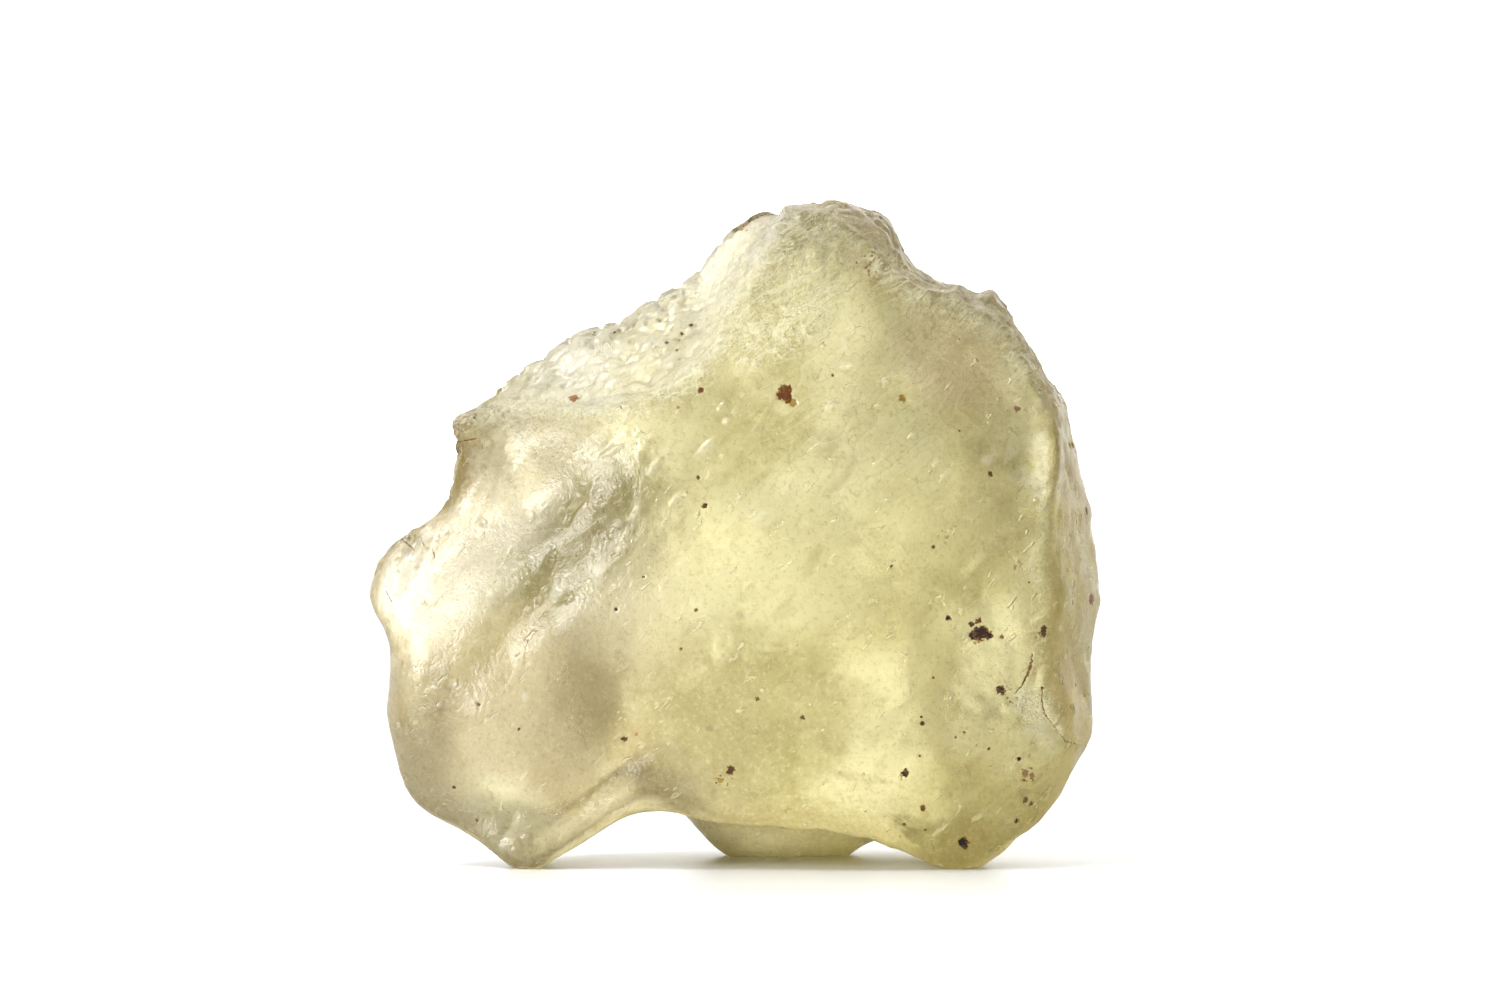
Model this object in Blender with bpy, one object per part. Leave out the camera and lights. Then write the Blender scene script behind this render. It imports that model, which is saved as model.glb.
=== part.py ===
"""A hand specimen of natural desert glass, one solid piece, standing on two tips and a heel.

Row frame: metres, +Z up, the broad face looks along -Y, the origin is under the middle of the
bounding box on the surface that the piece rests on. Lengths below are in millimetres.
"""

import math

import bmesh
import bpy
from mathutils import Vector, noise

MM = 0.001
NODE = "desert_glass"

# Where the outline was read from: a level view along +Y, at this distance from the plane of the tips.
VIEW_DISTANCE = 350.0
VIEW_X = 1.1
VIEW_Z = 25.2
TIP_DEPTH = -5.0

# The axis that the piece is built around, from the front pole to the back pole.
CORE_X = 0.4
CORE_Z = 21.1

# The rim, where the front of the piece turns into its back: x, z and depth (+ is away).
RIM = [
    # Right side, upwards
    (25.0, 18.4, 2.0), (24.9, 20.0, 2.0), (24.55, 22.4, 2.0), (24.5, 24.3, 2.0), (24.2, 25.6, 2.0),
    (23.7, 27.2, 2.2), (23.2, 29.0, 2.4), (22.8, 30.6, 2.4), (22.3, 32.2, 2.2), (21.5, 33.0, 2.0),
    (20.8, 34.4, 1.8), (20.0, 36.1, 1.6),
    # Right shoulder with its two knobs
    (19.2, 37.4, 1.2), (18.7, 38.5, 1.0), (17.9, 39.15, 0.8), (17.2, 39.4, 0.8), (16.5, 39.15, 1.0),
    (15.9, 39.6, 1.2), (15.3, 39.9, 1.2), (14.4, 39.75, 1.3), (13.2, 40.5, 1.5),
    # Front peak
    (12.2, 41.0, 1.8), (11.8, 41.9, 1.8), (11.3, 43.1, 1.8), (11.0, 44.1, 1.8), (10.6, 44.7, 1.8),
    (9.9, 45.05, 1.5), (8.9, 45.25, 1.0), (8.0, 45.6, 0.5), (7.2, 46.0, 0.0), (6.3, 45.95, -0.3),
    (5.4, 45.75, 0.3), (4.6, 45.3, 1.6),
    # Rear horn, further back
    (4.0, 44.9, 3.2), (3.0, 45.1, 5.4), (1.9, 45.2, 6.4), (1.0, 45.0, 6.8), (0.2, 44.15, 7.0),
    (-0.7, 43.4, 7.0), (-1.4, 42.5, 6.9), (-2.2, 41.4, 6.7), (-3.0, 40.45, 6.4),
    # Upper left slope
    (-4.2, 39.9, 6.1), (-5.8, 39.0, 5.7), (-7.2, 37.95, 5.3), (-8.8, 37.4, 4.9), (-10.4, 37.15, 4.5),
    (-11.5, 36.7, 4.1), (-13.0, 35.4, 3.5), (-14.6, 34.5, 2.8), (-15.3, 33.65, 2.3),
    (-16.1, 33.1, 1.8), (-16.9, 31.9, 1.0), (-17.6, 31.3, 0.3),
    # Left nub and the bay under it
    (-18.6, 31.2, -0.5), (-19.2, 30.6, -0.8), (-19.2, 29.6, -0.8), (-19.0, 28.2, -0.5),
    (-19.3, 26.7, 0.0), (-19.9, 25.1, 0.5), (-20.6, 24.1, 0.8),
    # Left bulge
    (-22.3, 23.1, 1.0), (-23.8, 22.2, 1.0), (-24.5, 21.1, 1.0), (-25.0, 19.6, 1.0),
    (-25.1, 18.4, 1.0), (-24.5, 17.1, 0.8), (-23.9, 15.9, 0.5), (-23.7, 14.6, 0.2),
    # Lower left lobe and the left tip
    (-23.9, 12.8, 0.0), (-24.05, 11.3, 0.0), (-23.9, 9.8, -0.3), (-23.4, 7.8, -0.8),
    (-22.9, 6.0, -1.4), (-22.1, 4.5, -2.0), (-21.0, 3.55, -2.5), (-19.3, 2.7, -3.2),
    (-17.5, 1.7, -4.0), (-16.0, 0.5, -4.8), (-15.0, -0.4, -5.0), (-14.0, -0.6, -5.0),
    (-12.9, -0.1, -5.0),
    # Arch between the tips
    (-11.7, 0.85, -5.0), (-10.2, 1.95, -5.0), (-8.9, 3.0, -5.0), (-7.5, 3.8, -5.0),
    (-5.8, 4.05, -5.0), (-4.3, 3.85, -5.0), (-3.0, 3.35, -5.0), (-1.0, 2.8, -5.0), (2.0, 2.6, -5.0),
    (5.0, 2.5, -5.0), (8.0, 2.0, -5.0), (11.0, 1.25, -5.0), (13.3, 0.4, -5.0),
    # Right tip and the lower right edge
    (14.5, -0.9, -5.0), (15.6, -1.1, -5.0), (16.9, 0.0, -5.0), (18.7, 1.45, -4.5),
    (20.2, 2.6, -4.0), (21.5, 3.95, -3.5), (22.8, 5.7, -3.0), (23.8, 7.5, -2.5), (24.5, 8.7, -1.5),
    (24.6, 9.8, -0.5), (24.4, 11.5, 0.5), (24.3, 13.3, 1.2), (24.4, 15.2, 1.6), (24.7, 16.8, 1.8),
]

# The bevel inside the rim as (direction in degrees round the core axis, width seen from the
# front, roundness). A roundness of 1 is a quarter round and 0 is a flat bevel.
FRONT_BEVELS = [
    (0, 3.6, 0.25), (10, 2.8, 0.25), (18, 1.7, 0.4), (26, 1.0, 0.8), (42, 1.4, 0.9), (55, 1.5, 0.9),
    (66, 2.0, 0.9), (76, 1.7, 0.9), (81, 1.4, 0.6), (84, 2.6, 0.2), (88, 4.3, 0.12), (92, 5.2, 0.1),
    (96, 6.2, 0.1), (105, 6.3, 0.1), (120, 6.1, 0.1), (133, 5.6, 0.1), (142, 3.2, 0.2), (149, 1.5, 0.8),
    (165, 1.9, 1.0), (190, 2.4, 1.0), (215, 2.8, 1.0), (236, 2.6, 1.0), (250, 3.4, 0.8),
    (265, 4.6, 0.7), (285, 5.0, 0.7), (300, 3.0, 1.0), (316, 2.6, 1.0), (328, 1.9, 0.8),
    (335, 3.0, 0.3), (346, 3.3, 0.25),
]
BACK_BEVELS = [
    (0, 6.0, 1.0), (25, 7.5, 0.8), (50, 8.5, 0.7), (70, 8.0, 0.75), (80, 6.0, 0.9), (92, 4.6, 1.0),
    (120, 5.4, 0.9), (150, 5.0, 1.0), (180, 7.0, 0.8), (205, 6.0, 0.9), (235, 4.6, 1.0),
    (250, 6.5, 0.9), (285, 6.5, 1.0), (305, 5.2, 1.0), (335, 7.5, 0.8),
]
# How softly a bevel turns into its side, as a share of its width.
CORNER_BLEND = 0.06

# Worn facets as (x, z, height over the mid plane, slope along x, slope along z, hollow).
# A positive hollow is a dish and a negative one is a dome. The lowest facet rules at each point.
FRONT_FACETS = {
    "broad_face": (6.0, 20.0, 8.4, 0.0, 0.0, -0.0055),
    "left_face": (-15.0, 19.5, 5.0, 0.50, -0.30, 0.008),
    "lower_left": (-16.0, 8.0, 5.9, 0.26, 0.12, 0.0),
    "top_right": (14.0, 37.0, 6.6, -0.35, -0.45, 0.0),
    "lower_right": (19.0, 6.0, 6.8, -0.22, 0.16, 0.0),
}
BACK_FACETS = {
    "hump": (5.0, 16.0, 15.6, 0.05, 0.10, -0.006),
    "left_wedge": (-8.0, 20.0, 11.4, 0.84, -0.10, 0.006),
    "right_wedge": (14.0, 20.0, 12.6, -1.10, 0.10, 0.008),
    "top_slope": (4.0, 32.0, 12.6, 0.10, -0.50, 0.004),
    "top_right_slope": (15.0, 32.0, 10.2, -0.75, -0.55, 0.004),
    "low_slope": (-4.0, 8.0, 13.8, 0.30, 0.30, 0.0),
}
# How softly facets turn into each other.
FACET_BLEND = 0.55

# The least that each side stands out from the rim's own depth, and how far in from the rim.
FRONT_SHOULDER = 1.7
BACK_SHOULDER = 2.6
SHOULDER_WIDTH = 4.5

# Hollows of each side as (x, z, half width, half height, turn in degrees, depth). A negative
# depth is a swelling.
DENT_FALL = 1.2
FRONT_DENTS = {
    "right_hollow": (20.2, 28.0, 1.3, 3.6, -6, 0.8),
    "arch_scoop": (-6.5, 5.0, 4.8, 4.6, 0, 1.7),
    "bulge_hollow": (-21.4, 20.0, 2.0, 3.2, -35, 0.4),
    "left_lobe": (-17.0, 8.5, 5.5, 6.0, -20, -0.7),
    "face_hollow": (-13.5, 25.0, 2.6, 4.6, -50, 0.8),
    "diagonal_trough": (-14.0, 17.5, 1.8, 9.0, -42, 0.7),
    "trough_tail": (-7.0, 8.5, 2.2, 5.0, 40, 0.5),
    "middle_swell": (-2.0, 16.0, 4.5, 5.5, -20, -0.5),
    "low_swell": (7.0, 5.5, 4.5, 2.4, -8, -0.6),
    "low_trough": (6.5, 9.8, 4.0, 1.5, -10, 0.4),
    "shell_step": (17.0, 21.0, 3.6, 2.2, -25, 0.6),
    "chip": (20.6, 11.6, 1.5, 2.3, 25, 0.7),
    "face_ridge": (0.9, 38.0, 0.9, 4.2, 8, -0.5),
    "peak_hollow": (8.6, 41.4, 2.0, 1.8, 0, 0.7),
    "upper_hollow": (8.0, 35.0, 4.4, 3.0, 20, 0.5),
    "nub_hollow": (-16.4, 28.2, 1.6, 2.6, -25, 0.5),
    "tip_groove": (-15.6, 3.4, 0.8, 2.4, -30, 0.4),
    "slope_step": (-7.5, 34.6, 3.6, 1.0, 15, -0.7),
    "slope_pocket": (-11.4, 34.4, 1.8, 1.5, 30, 0.9),
    "horn_pocket": (-1.8, 39.6, 1.2, 2.2, 25, 0.9),
}
BACK_DENTS = {
    "upper_scoop": (8.0, 31.0, 4.6, 6.0, -20, 1.8),
    "left_scoop": (-11.0, 24.5, 5.0, 4.0, 30, 1.7),
    "low_left_scoop": (-13.0, 10.5, 4.5, 5.5, -15, 1.6),
    "right_scoop": (16.0, 14.0, 3.6, 5.6, 10, 1.6),
    "middle_dish": (0.5, 20.0, 4.0, 3.0, 0, 1.2),
    "small_dish": (8.5, 11.5, 2.6, 2.2, 20, 0.9),
    "edge_chip": (20.5, 28.0, 2.0, 3.0, 15, 0.9),
    "horn_root": (-3.0, 35.5, 2.8, 3.5, 20, 1.2),
}

# The heel, the low part of the back that reaches the surface: its centre, its half widths, how
# square it is, the height that it starts from and how far it is drawn down.
HEEL_X = 2.0
HEEL_Y = 9.4
HEEL_HALF_X = 7.4
HEEL_HALF_Y = 5.2
HEEL_SQUARENESS = 1.6
HEEL_TOP = 13.0
HEEL_REACH = 8.8

# Unevenness that wind and weather left, as (wavelength, height). It fades out this near the feet.
WEATHERING = [(7.0, 0.36), (3.0, 0.17)]
QUIET_HEIGHT = 3.0

# How finely the surface and the rim's curve are divided, and how much the surface is evened out.
EDGE_CUTS = 21
RIM_STEPS = 6
SMOOTHING = 0.3


def clear_scene():
    for obj in list(bpy.data.objects):
        bpy.data.objects.remove(obj)


def true_place(x, z, depth):
    """A point read in the plane of the tips, moved out or in to where it is at its own depth."""
    spread = 1.0 + (depth - TIP_DEPTH) / VIEW_DISTANCE
    return VIEW_X + (x - VIEW_X) * spread, VIEW_Z + (z - VIEW_Z) * spread


def spline(before, start, end, after, t):
    """A Catmull-Rom curve from start to end."""
    return 0.5 * (
        2 * start
        + (end - before) * t
        + (2 * before - 5 * start + 4 * end - after) * t**2
        + (3 * start - before - 3 * end + after) * t**3
    )


def rim_table():
    """The rim as (angle, radius, depth) around the core axis, at close steps, by angle."""
    points = []
    for x, z, depth in RIM:
        there = true_place(x, z, depth)
        points.append(Vector((there[0], there[1], depth)))
    count = len(points)
    rows = []
    for i in range(count):
        four = [points[(i + k) % count] for k in (-1, 0, 1, 2)]
        for step in range(RIM_STEPS):
            x, z, depth = spline(*four, step / RIM_STEPS)
            angle = math.atan2(z - CORE_Z, x - CORE_X) % math.tau
            rows.append((angle, math.hypot(x - CORE_X, z - CORE_Z), depth))
    rows.sort()
    return rows


def rim_at(rows, angle):
    """Radius and depth of the rim at an angle."""
    angle %= math.tau
    low, high = 0, len(rows)
    while low < high:
        middle = (low + high) // 2
        if rows[middle][0] < angle:
            low = middle + 1
        else:
            high = middle
    before, after = rows[low - 1], rows[low % len(rows)]
    gap = (after[0] - before[0]) % math.tau
    share = ((angle - before[0]) % math.tau) / gap if gap > 0 else 0.0
    return tuple(before[k] + (after[k] - before[k]) * share for k in (1, 2))


def soft_lowest(values, blend):
    """The lowest of the values, rounded where two of them meet."""
    lowest = min(values)
    total = sum(math.exp(-(value - lowest) / blend) for value in values)
    return lowest - blend * math.log(total)


def bevel_at(table, angle):
    """Width and roundness of the bevel in a direction."""
    direction = math.degrees(angle) % 360.0
    rows = table + [(table[0][0] + 360, *table[0][1:])]
    for before, after in zip(rows, rows[1:]):
        if direction <= after[0]:
            break
    share = (direction - before[0]) / (after[0] - before[0])
    share = share * share * (3 - 2 * share)
    return tuple(before[k] + (after[k] - before[k]) * share for k in (1, 2))


def bevel_rise(inward, roundness):
    """How much of a side's height is reached at this share of its bevel's width."""
    flat = max(0.0, soft_lowest((inward, 1.0), CORNER_BLEND))
    flat = min(flat, 1.0)
    return flat + (math.sqrt(flat * (2.0 - flat)) - flat) * roundness


def ring_inward(rise, radius, height, width, roundness):
    """How far in from the rim a point lies, for points evenly spread along the surface."""
    bevel = math.hypot(width, height)
    along = rise * (bevel + radius - width)
    if along > bevel:
        return width + along - bevel
    share = along / bevel
    return width * (share + (1.0 - math.cos(share * math.pi / 2) - share) * roundness)


def bell(x, z, middle_x, middle_z, half_x, half_z, turn):
    """1 at the middle of a turned ellipse, falling smoothly to 0 around it."""
    turn = math.radians(turn)
    dx, dz = x - middle_x, z - middle_z
    along = (dx * math.cos(turn) + dz * math.sin(turn)) / half_x
    across = (dz * math.cos(turn) - dx * math.sin(turn)) / half_z
    return math.exp(-DENT_FALL * (along**2 + across**2))


def facet_heights(facets, x, z):
    heights = []
    for middle_x, middle_z, height, slope_x, slope_z, hollow in facets.values():
        dx, dz = x - middle_x, z - middle_z
        heights.append(height + slope_x * dx + slope_z * dz + hollow * (dx * dx + dz * dz))
    return heights


def dents(table, x, z):
    return sum(bell(x, z, *shape[:5]) * shape[5] for shape in table.values())


def front_height(x, z):
    return soft_lowest(facet_heights(FRONT_FACETS, x, z), FACET_BLEND) - dents(FRONT_DENTS, x, z)


def back_height(x, z):
    return soft_lowest(facet_heights(BACK_FACETS, x, z), FACET_BLEND) - dents(BACK_DENTS, x, z)


def height_over_rim(front, x, z, rim_depth):
    return front_height(x, z) + rim_depth if front else back_height(x, z) - rim_depth


def place_on_stone(direction, rows):
    """The point of the stone that a direction from its middle maps to."""
    front = direction.y < 0
    angle = math.atan2(direction.z, direction.x)
    radius, rim_depth = rim_at(rows, angle)
    width, roundness = bevel_at(FRONT_BEVELS if front else BACK_BEVELS, angle)
    shoulder = FRONT_SHOULDER if front else BACK_SHOULDER
    across = Vector((math.cos(angle), math.sin(angle)))
    core = Vector((CORE_X, CORE_Z))

    inner = core + across * (radius - width)
    typical = max(shoulder, height_over_rim(front, *inner, rim_depth))
    rise = math.atan2(abs(direction.y), math.hypot(direction.x, direction.z)) / (math.pi / 2)
    inward = ring_inward(rise, radius, typical, width, roundness)

    x, z = core + across * (radius - inward)
    height = height_over_rim(front, x, z, rim_depth)
    lacking = -soft_lowest((0.0, height - shoulder), FACET_BLEND)
    height += lacking * math.exp(-((inward / SHOULDER_WIDTH) ** 2))
    height *= bevel_rise(inward / width, roundness)
    return Vector((x, rim_depth - height if front else rim_depth + height, z))


def push_heel_down(point):
    """Draws the low part of the back down to the surface, where it ends flat."""
    across = (point.x - HEEL_X) / HEEL_HALF_X
    along = (point.y - HEEL_Y) / HEEL_HALF_Y
    weight = math.exp(-((across**2 + along**2) ** HEEL_SQUARENESS))
    height = max(0.0, 1.0 - max(point.z, 0.0) / HEEL_TOP)
    point.z -= HEEL_REACH * weight * height


def weather(point, normal):
    strength = min(1.0, max(0.0, point.z) / QUIET_HEIGHT)
    for wave, height in WEATHERING:
        point += normal * noise.noise(point / wave) * height * strength


def seat(bm):
    """Cuts the feet flat at the surface and centres the piece over the origin."""
    for vertex in bm.verts:
        vertex.co.z = max(vertex.co.z, 0.0)
    low = Vector(min(v.co[k] for v in bm.verts) for k in range(3))
    high = Vector(max(v.co[k] for v in bm.verts) for k in range(3))
    middle = (low + high) / 2
    bmesh.ops.translate(bm, vec=(-middle.x, -middle.y, -low.z), verts=bm.verts)


def stone_mesh():
    rows = rim_table()
    bm = bmesh.new()
    bmesh.ops.create_icosphere(bm, subdivisions=1, radius=1.0)
    bmesh.ops.subdivide_edges(bm, edges=bm.edges, cuts=EDGE_CUTS, use_grid_fill=True)
    bmesh.ops.triangulate(bm, faces=bm.faces)
    for vertex in bm.verts:
        vertex.co = place_on_stone(vertex.co.normalized(), rows)
        push_heel_down(vertex.co)
    bm.normal_update()
    for vertex, normal in [(v, v.normal.copy()) for v in bm.verts]:
        weather(vertex.co, normal)
    axes = {"use_axis_x": True, "use_axis_y": True, "use_axis_z": True}
    bmesh.ops.smooth_vert(bm, verts=bm.verts, factor=SMOOTHING, **axes)
    seat(bm)
    bmesh.ops.scale(bm, vec=(MM, MM, MM), verts=bm.verts)
    bmesh.ops.recalc_face_normals(bm, faces=bm.faces)
    mesh = bpy.data.meshes.new(NODE)
    bm.to_mesh(mesh)
    bm.free()
    mesh.shade_smooth()
    return mesh


def glass_material():
    material = bpy.data.materials.new("pale_yellow_glass")
    material.use_nodes = True
    shader = material.node_tree.nodes["Principled BSDF"]
    shader.inputs["Base Color"].default_value = (0.80, 0.77, 0.52, 1.0)
    shader.inputs["Roughness"].default_value = 0.45
    shader.inputs["Metallic"].default_value = 0.0
    shader.inputs["IOR"].default_value = 1.46
    shader.inputs["Transmission Weight"].default_value = 0.7
    return material


def main():
    clear_scene()
    stone = bpy.data.objects.new(NODE, stone_mesh())
    stone.data.materials.append(glass_material())
    bpy.context.scene.collection.objects.link(stone)


main()
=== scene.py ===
"""A hand specimen of pale yellow desert glass, standing on a pale table in soft light.

Lengths are worked out in millimetres and turned into metres where Blender needs them. Marks on the
front are given as (across, up), as they are read off a level view in the plane of the two tips.
"""

import math
import random

import bmesh
import bpy
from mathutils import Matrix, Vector, noise
from mathutils.bvhtree import BVHTree
from mathutils.kdtree import KDTree


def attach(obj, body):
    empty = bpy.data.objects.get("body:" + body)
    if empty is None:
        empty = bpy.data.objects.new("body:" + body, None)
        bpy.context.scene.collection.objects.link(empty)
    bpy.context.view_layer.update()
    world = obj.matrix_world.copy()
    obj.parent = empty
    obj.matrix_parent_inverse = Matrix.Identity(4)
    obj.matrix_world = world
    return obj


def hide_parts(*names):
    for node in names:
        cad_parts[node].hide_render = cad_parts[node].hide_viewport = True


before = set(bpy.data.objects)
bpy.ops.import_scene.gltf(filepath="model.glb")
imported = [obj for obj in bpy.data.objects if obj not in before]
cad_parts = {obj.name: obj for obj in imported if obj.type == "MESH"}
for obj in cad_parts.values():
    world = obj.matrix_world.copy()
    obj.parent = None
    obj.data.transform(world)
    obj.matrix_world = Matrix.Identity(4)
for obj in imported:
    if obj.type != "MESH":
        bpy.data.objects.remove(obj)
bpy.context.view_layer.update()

MM = 0.001
NODE = "desert_glass"

# The view that the marks were read from: where the eye is, and how far off the plane of the tips.
EYE = Vector((1.07, -355.0, 25.2))
READ_DISTANCE = 350.0
LENS = 121.5
SENSOR = 36.0

# Lines of the front, as (across, up).
DISH_RIDGE = [
    (-19.0, 30.6), (-17.0, 31.2), (-13.0, 31.5), (-9.0, 31.2), (-6.0, 32.0), (-3.0, 33.5),
    (-1.0, 36.0), (-0.3, 38.5), (1.5, 41.3), (4.0, 44.5),
]
PEAK_EDGE = [
    (4.0, 44.6), (6.0, 44.9), (8.4, 43.5), (10.0, 41.9), (11.3, 40.5), (13.0, 39.5), (15.0, 39.0),
    (16.5, 38.2), (18.5, 37.2), (20.3, 34.0),
]
RIGHT_RIDGE = [
    (20.3, 34.0), (21.9, 31.0), (21.8, 28.0), (21.5, 25.0), (21.3, 20.0), (21.2, 16.0), (21.0, 13.5),
    (21.8, 11.0), (23.0, 9.0),
]
LEFT_OUTLINE = [
    (-19.2, 30.4), (-19.0, 28.9), (-18.8, 27.5), (-19.2, 25.7), (-20.4, 24.3), (-22.4, 23.1),
    (-23.7, 21.9), (-24.6, 20.5), (-25.1, 18.7), (-24.9, 17.6), (-24.2, 16.4), (-23.7, 14.9),
]
# The dish is cut along a circle.
DISH_MIDDLE = (-12.0, 46.0)
DISH_RADIUS = 15.2
# The lower left lobe's edge above the arch, and how far to its sides it is rounded.
LOBE_EDGE = [(-13.2, 0.8), (-11.2, 2.8), (-9.4, 4.8), (-7.4, 6.6)]
LOBE_WEAR = 1.8
# The diagonal trough of the left.
TROUGH = [(-5.2, 28.7), (-11.0, 22.5), (-14.5, 17.3), (-20.7, 11.8)]

# Crisp edges of the front, as (line, height, how far it falls away).
CRESTS = [(DISH_RIDGE, 0.42, 0.65), (PEAK_EDGE, 0.40, 0.6), (RIGHT_RIDGE, 0.12, 0.6)]
# Flaked bands along the edges, as (line, strength, half width), and two flaked patches, as
# (across, up, half length, half width, turn in degrees).
FLAKED_BANDS = [(DISH_RIDGE, 1.0, 0.9), (PEAK_EDGE, 1.0, 1.2), (RIGHT_RIDGE, 0.22, 0.7)]
FLAKED_SHOULDER = (3.2, 40.0, 7.0, 4.6, 55)
FLAKED_CHIP = (20.8, 11.0, 2.2, 1.5, 60)

# Colours of the glass, and of the highlights, glints and shade painted on it, as linear red, green and
# blue.
GLASS_COLOURS = {
    "deep_yellow": (0.59, 0.54, 0.30),
    "light_yellow": (0.86, 0.82, 0.57),
    "pale_left_and_sheen": (0.82, 0.74, 0.59),
    "creamy_dish": (0.98, 0.93, 0.75),
    "light_streak": (0.98, 0.92, 0.66),
    "dark_grain": (0.22, 0.16, 0.015),
    "light_grain": (1.0, 0.96, 0.76),
    "olive_edge": (0.33, 0.23, 0.04),
    "dark_ledge": (0.18, 0.13, 0.015),
    "fibre_gap": (0.34, 0.26, 0.04),
    "fleck": (1.0, 0.97, 0.78),
    "glint": (1.0, 0.99, 0.90),
    "tick": (1.0, 0.98, 0.80),
    "scale_line": (0.28, 0.21, 0.03),
    "rusty_stain": (0.20, 0.075, 0.012),
    "inside": (0.79, 0.765, 0.48),
}
TINT_COLOURS = {
    "tan": (0.54, 0.36, 0.12),
    "brown": (0.26, 0.15, 0.03),
    "olive": (0.22, 0.17, 0.015),
    "slate": (0.40, 0.36, 0.27),
    "pinkish": (0.84, 0.69, 0.56),
    "cream": (0.98, 0.91, 0.62),
    "milky": (0.97, 0.92, 0.68),
    "white": (1.0, 0.98, 0.92),
}
# Soft tints of the front, as (across, up, half length, half width, turn in degrees, colour, share).
# Some are painted light and shade, as noted above them.
TINTS = [
    (-19.2, 29.8, 1.5, 1.3, 90, "tan", 0.8), (-18.6, 27.2, 1.6, 0.8, 100, "brown", 0.4),
    (-7.2, 8.2, 3.2, 1.3, -42, "tan", 0.24), (7.6, 10.4, 2.2, 2.6, 90, "olive", 0.20),
    (17.0, 23.9, 2.6, 2.2, 0, "olive", 0.26), (17.8, 28.4, 2.0, 0.9, 0, "olive", 0.35),
    (21.2, 17.5, 3.4, 1.0, 86, "olive", 0.30), (22.8, 15.6, 3.0, 1.0, 92, "olive", 0.22),
    # Painted shade: olive along the trough.
    (-11.0, 22.0, 6.4, 2.4, 50, "olive", 0.72), (-18.4, 13.2, 3.8, 1.8, 38, "olive", 0.45),
    (-14.5, 10.5, 7.0, 5.5, -20, "tan", 0.44), (-20.5, 6.5, 3.5, 2.0, -70, "olive", 0.22),
    (-14.0, 11.0, 6.0, 5.0, -20, "slate", 0.28), (-9.8, 4.3, 3.4, 0.7, 46, "olive", 0.40),
    # Darker towards the bottom, partly thicker glass and partly painted shade: olive low in the middle.
    (1.0, 10.0, 6.0, 5.0, 0, "olive", 0.54), (-6.0, 11.0, 4.0, 4.0, 0, "olive", 0.30),
    (15.8, 1.8, 1.8, 1.3, 50, "brown", 0.40), (-12.0, 5.6, 3.0, 2.0, -40, "tan", 0.14),
    (23.6, 26.0, 2.6, 0.9, 100, "pinkish", 0.7), (22.9, 11.6, 1.9, 0.9, 80, "pinkish", 0.6),
    (9.6, 41.7, 1.5, 1.1, -60, "brown", 0.45), (15.0, 34.8, 3.5, 2.5, -40, "pinkish", 0.5),
    (1.7, 43.9, 0.6, 0.5, 20, "brown", 0.4), (19.0, 29.6, 1.4, 1.0, 45, "milky", 0.4),
    (-0.9, 15.3, 1.2, 0.7, 80, "milky", 0.5), (-1.7, 18.2, 1.8, 0.7, 20, "milky", 0.4),
    (-3.0, 13.2, 1.2, 0.7, 45, "milky", 0.25), (2.6, 24.9, 2.2, 1.2, 40, "milky", 0.35),
    (13.4, 12.4, 3.6, 2.4, 10, "milky", 0.18), (14.6, 24.0, 3.2, 3.0, 60, "milky", 0.44),
    (8.7, 36.6, 4.2, 2.4, -30, "milky", 0.25), (-15.3, 3.2, 3.4, 2.0, -40, "milky", 0.75),
    # Painted highlights: white on the dish, on the left bulge and a faint glare across the left face.
    (-11.2, 34.4, 2.7, 1.8, 30, "white", 0.95), (-10.0, 31.9, 1.7, 0.5, 5, "white", 0.9),
    (-23.0, 20.0, 2.9, 1.7, 76, "white", 0.95), (-16.5, 21.0, 5.2, 1.8, 50, "white", 0.25),
    # Painted shade: slate on two small facets of the left bulge.
    (-22.2, 22.1, 0.9, 0.5, 50, "slate", 0.7), (-23.4, 18.3, 0.7, 0.3, 70, "slate", 0.4),
    (21.0, 10.2, 1.8, 1.0, -60, "white", 0.8), (19.8, 11.4, 0.8, 0.5, 60, "white", 0.8),
    (6.6, 42.4, 3.8, 1.8, 0, "cream", 0.45), (3.0, 39.3, 3.4, 2.2, 50, "cream", 0.50),
    (1.0, 35.6, 2.6, 1.4, 55, "cream", 0.45),
]

SPECK_COLOURS = {
    "red_black": (0.075, 0.012, 0.0015),
    "amber": (0.34, 0.19, 0.03),
    "rust": (0.40, 0.13, 0.05),
    "brown": (0.020, 0.007, 0.001),
    "grey": (0.055, 0.034, 0.008),
    "purple": (0.005, 0.0006, 0.0010),
    "pink": (0.26, 0.12, 0.09),
    "black": (0.002, 0.001, 0.001),
}
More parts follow.
